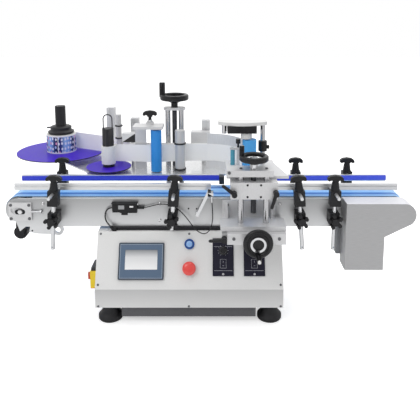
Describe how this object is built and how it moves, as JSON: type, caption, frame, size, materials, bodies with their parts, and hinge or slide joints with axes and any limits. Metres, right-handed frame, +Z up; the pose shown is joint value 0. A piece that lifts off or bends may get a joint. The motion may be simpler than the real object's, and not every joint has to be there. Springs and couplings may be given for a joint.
{
  "type": "bottle labelling machine",
  "caption": "Desktop labelling machine for round bottles: belt conveyor with guide rails on a cabinet, label head on lifting columns and wrapping roller on a cross slide.",
  "frame": {"origin": "on the table under the middle of the machine", "axes": "+X along the belt's travel, from the reel end to the drive end; +Y to the rear, away from the operator; +Z up"},
  "size_m": [1.252, 0.69, 0.661],
  "materials": {
    "white_paint": "satin",
    "grey_paint": "satin",
    "black_paint": "satin",
    "stainless": "brushed",
    "chrome_steel": "polished",
    "aluminium": "anodised",
    "rubber": "matt",
    "blue_belt": "matt",
    "black_plastic": "moulded",
    "grey_plastic": "moulded",
    "yellow_plastic": "moulded",
    "red_plastic": "moulded",
    "blue_plastic": "moulded",
    "purple_plastic": "satin",
    "blue_rubber": "matt",
    "white_rubber": "matt",
    "paper": "film",
    "printed_labels": "printed film",
    "cable": "matt",
    "fibre": "sheathed"
  },
  "bodies": {
    "root": {"base_cabinet": "white_paint", "base_plinth": "black_paint", "rubber_feet": "rubber", "touch_screen": "grey_plastic", "speed_controllers": "black_plastic", "power_switch_box": "yellow_plastic", "conveyor_riser": "black_paint", "conveyor_frame": "stainless", "conveyor_belt": "blue_belt", "tail_bearing_blocks": "aluminium", "drive_cover": "grey_paint", "drive_gearmotor": "grey_paint", "bracket_clamps": "black_plastic", "bracket_knobs": "black_plastic", "bracket_rods": "chrome_steel", "head_columns": "chrome_steel", "cross_slide_way": "aluminium", "sensor_amplifier": "black_plastic", "amplifier_cable": "cable", "fibre_cable": "fibre"},
    "label_head": {"label_deck": "stainless", "traction_housing": "aluminium", "peel_plate": "stainless", "label_web": "paper", "support_posts": "aluminium", "label_sensor": "aluminium"},
    "supply_reel": {"label_reel": "purple_plastic", "label_roll": "printed_labels"},
    "saddle": {"cross_slide_saddle": "aluminium"},
    "carriage": {"lift_carriage": "aluminium", "wrap_arm": "white_paint", "wrap_head_plate": "white_paint", "wrap_drive_case": "black_plastic"},
    "start_button": {"start_button": "blue_plastic"},
    "stop_button": {"stop_button": "red_plastic"},
    "left_speed_dial": {"left_speed_dial": "black_plastic"},
    "right_speed_dial": {"right_speed_dial": "black_plastic"},
    "power_switch_knob": {"power_switch_knob": "red_plastic"},
    "tail_roller": {"tail_roller": "aluminium"},
    "drive_roller": {"drive_roller": "aluminium"},
    "return_roller": {"return_roller": "rubber"},
    "motor_pulley": {"motor_pulley": "aluminium"},
    "front_left_rail": {"front_left_rail": "aluminium"},
    "front_right_rail": {"front_right_rail": "aluminium"},
    "rear_left_rail": {"rear_left_rail": "aluminium"},
    "rear_right_rail": {"rear_right_rail": "aluminium"},
    "head_crank": {"head_crank": "black_plastic"},
    "rewind_spool": {"rewind_spool": "black_plastic"},
    "rear_guide_roller": {"rear_guide_roller": "aluminium"},
    "front_guide_roller": {"front_guide_roller": "white_rubber"},
    "traction_roller": {"traction_roller": "blue_rubber"},
    "pinch_roller": {"pinch_roller": "rubber"},
    "pressure_knob": {"pressure_knob": "black_plastic"},
    "cross_slide_crank": {"cross_slide_crank": "black_plastic"},
    "lift_crank": {"lift_crank": "black_plastic"},
    "wrap_roller": {"wrap_roller": "blue_rubber"},
    "idle_roller": {"idle_roller": "blue_rubber"},
    "left_carriage_lever": {"left_carriage_lever": "black_plastic"},
    "right_carriage_lever": {"right_carriage_lever": "black_plastic"},
    "slide_lever": {"slide_lever": "black_plastic"}
  },
  "joints": [
    {"name": "start_press", "type": "slide", "parent": "root", "child": "start_button", "axis": [0, 0.9054, -0.4246], "range_m": [0, 0.003], "stiffness_N_per_m": 300},
    {"name": "stop_press", "type": "slide", "parent": "root", "child": "stop_button", "axis": [0, 0.9054, -0.4246], "range_m": [0, 0.003], "stiffness_N_per_m": 400},
    {"name": "left_dial_turn", "type": "hinge", "parent": "root", "child": "left_speed_dial", "pos_m": [0.084, -0.18271, 0.20924], "axis": [0, -0.9054, 0.4246], "range_deg": [-135, 135]},
    {"name": "right_dial_turn", "type": "hinge", "parent": "root", "child": "right_speed_dial", "pos_m": [0.173, -0.18271, 0.20924], "axis": [0, -0.9054, 0.4246], "range_deg": [-135, 135]},
    {"name": "power_switch_turn", "type": "hinge", "parent": "root", "child": "power_switch_knob", "pos_m": [-0.299, -0.161, 0.122], "axis": [-1, 0, 0], "range_deg": [0, 90]},
    {"name": "drive_roller_spin", "type": "hinge", "parent": "root", "child": "drive_roller", "pos_m": [0.585, -0.08, 0.316], "axis": [0, 1, 0], "continuous": true},
    {"name": "tail_roller_spin", "type": "hinge", "parent": "root", "child": "tail_roller", "pos_m": [-0.515, -0.08, 0.316], "axis": [0, 1, 0], "continuous": true},
    {"name": "return_roller_spin", "type": "hinge", "parent": "root", "child": "return_roller", "pos_m": [-0.513, -0.08, 0.243], "axis": [0, 1, 0], "continuous": true},
    {"name": "motor_pulley_spin", "type": "hinge", "parent": "root", "child": "motor_pulley", "pos_m": [0.458, -0.16, 0.232], "axis": [0, 1, 0], "continuous": true},
    {"name": "front_left_rail_slide", "type": "slide", "parent": "root", "child": "front_left_rail", "axis": [0, 1, 0], "range_m": [-0.02, 0.02]},
    {"name": "front_right_rail_slide", "type": "slide", "parent": "root", "child": "front_right_rail", "axis": [0, 1, 0], "range_m": [-0.02, 0.02]},
    {"name": "rear_left_rail_slide", "type": "slide", "parent": "root", "child": "rear_left_rail", "axis": [0, 1, 0], "range_m": [-0.02, 0.02]},
    {"name": "rear_right_rail_slide", "type": "slide", "parent": "root", "child": "rear_right_rail", "axis": [0, 1, 0], "range_m": [-0.02, 0.02]},
    {"name": "head_crank_turn", "type": "hinge", "parent": "root", "child": "head_crank", "pos_m": [-0.071, 0.095, 0.612], "axis": [0, 0, 1], "range_deg": [0, 1800]},
    {"name": "head_lift", "type": "slide", "parent": "root", "child": "label_head", "axis": [0, 0, 1], "range_m": [0, 0.025]},
    {"name": "supply_reel_spin", "type": "hinge", "parent": "label_head", "child": "supply_reel", "pos_m": [-0.475, 0.195, 0.404], "axis": [0, 0, 1], "continuous": true},
    {"name": "rewind_spin", "type": "hinge", "parent": "label_head", "child": "rewind_spool", "pos_m": [-0.279, 0.03, 0.404], "axis": [0, 0, 1], "continuous": true},
    {"name": "rear_guide_spin", "type": "hinge", "parent": "label_head", "child": "rear_guide_roller", "pos_m": [-0.261, 0.128, 0.404], "axis": [0, 0, 1], "continuous": true},
    {"name": "front_guide_spin", "type": "hinge", "parent": "label_head", "child": "front_guide_roller", "pos_m": [-0.05, 0.034, 0.404], "axis": [0, 0, 1], "continuous": true},
    {"name": "traction_spin", "type": "hinge", "parent": "label_head", "child": "traction_roller", "pos_m": [-0.125, 0.02, 0.404], "axis": [0, 0, 1], "continuous": true},
    {"name": "pinch_spin", "type": "hinge", "parent": "label_head", "child": "pinch_roller", "pos_m": [-0.125, 0.0471, 0.404], "axis": [0, 0, 1], "continuous": true},
    {"name": "pressure_knob_turn", "type": "hinge", "parent": "label_head", "child": "pressure_knob", "pos_m": [-0.146, 0.043, 0.55], "axis": [0, 0, 1], "range_deg": [-180, 180]},
    {"name": "cross_crank_turn", "type": "hinge", "parent": "root", "child": "cross_slide_crank", "pos_m": [0.174, -0.3, 0.282], "axis": [0, 1, 0], "range_deg": [-720, 1080]},
    {"name": "saddle_slide", "type": "slide", "parent": "root", "child": "saddle", "axis": [0, 1, 0], "range_m": [-0.008, 0.012]},
    {"name": "lift_crank_turn", "type": "hinge", "parent": "saddle", "child": "lift_crank", "pos_m": [0.166, -0.225, 0.484], "axis": [0, 0, 1], "range_deg": [-1080, 360]},
    {"name": "carriage_lift", "type": "slide", "parent": "saddle", "child": "carriage", "axis": [0, 0, 1], "range_m": [-0.012, 0.004]},
    {"name": "wrap_roller_spin", "type": "hinge", "parent": "carriage", "child": "wrap_roller", "pos_m": [0.162, -0.1, 0.44], "axis": [0, 0, 1], "continuous": true},
    {"name": "idle_roller_spin", "type": "hinge", "parent": "carriage", "child": "idle_roller", "pos_m": [0.113, -0.1, 0.44], "axis": [0, 0, 1], "continuous": true},
    {"name": "left_lever_turn", "type": "hinge", "parent": "carriage", "child": "left_carriage_lever", "pos_m": [0.112, -0.26, 0.404], "axis": [0, 1, 0], "range_deg": [-60, 60]},
    {"name": "right_lever_turn", "type": "hinge", "parent": "carriage", "child": "right_carriage_lever", "pos_m": [0.224, -0.26, 0.406], "axis": [0, 1, 0], "range_deg": [-60, 60]},
    {"name": "slide_lever_turn", "type": "hinge", "parent": "root", "child": "slide_lever", "pos_m": [0.085, -0.27, 0.282], "axis": [0, 1, 0], "range_deg": [-60, 60]}
  ],
  "couplings": [
    {"joint": "tail_roller_spin", "follows": "drive_roller_spin", "ratio": 1},
    {"joint": "motor_pulley_spin", "follows": "drive_roller_spin", "ratio": 1},
    {"joint": "head_crank_turn", "follows": "head_lift", "rad_per_m": 1256.6},
    {"joint": "cross_crank_turn", "follows": "saddle_slide", "rad_per_m": 1570.8},
    {"joint": "lift_crank_turn", "follows": "carriage_lift", "rad_per_m": 1570.8},
    {"joint": "pinch_spin", "follows": "traction_spin", "ratio": -1.8889}
  ]
}
